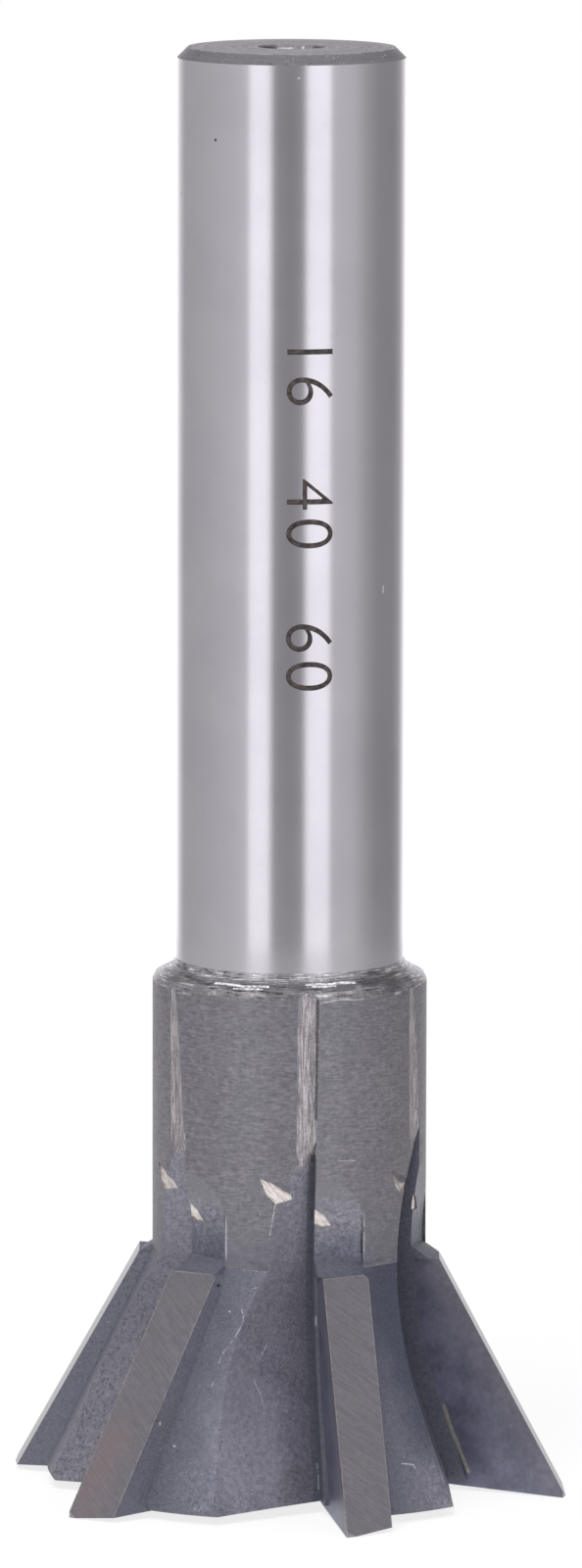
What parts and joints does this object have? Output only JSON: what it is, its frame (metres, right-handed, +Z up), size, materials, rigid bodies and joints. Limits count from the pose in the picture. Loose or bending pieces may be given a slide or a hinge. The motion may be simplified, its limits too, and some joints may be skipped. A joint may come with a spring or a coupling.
{
  "type": "dovetail cutter",
  "caption": "Straight-shank steel dovetail cutter with a collar and a widening cone of straight 60 degree teeth.",
  "frame": {"origin": "on the cutter's axis, in the plane of the tooth tips", "axes": "+Z up along the axis from the cutting end to the shank's end; the picture looks along +Y with +X to the right"},
  "size_m": [0.0392, 0.04, 0.102],
  "materials": {
    "tool_steel": "ground shank and lands, dark hardened flutes"
  },
  "bodies": {
    "root": {"dovetail_cutter": "tool_steel"}
  },
  "joints": []
}
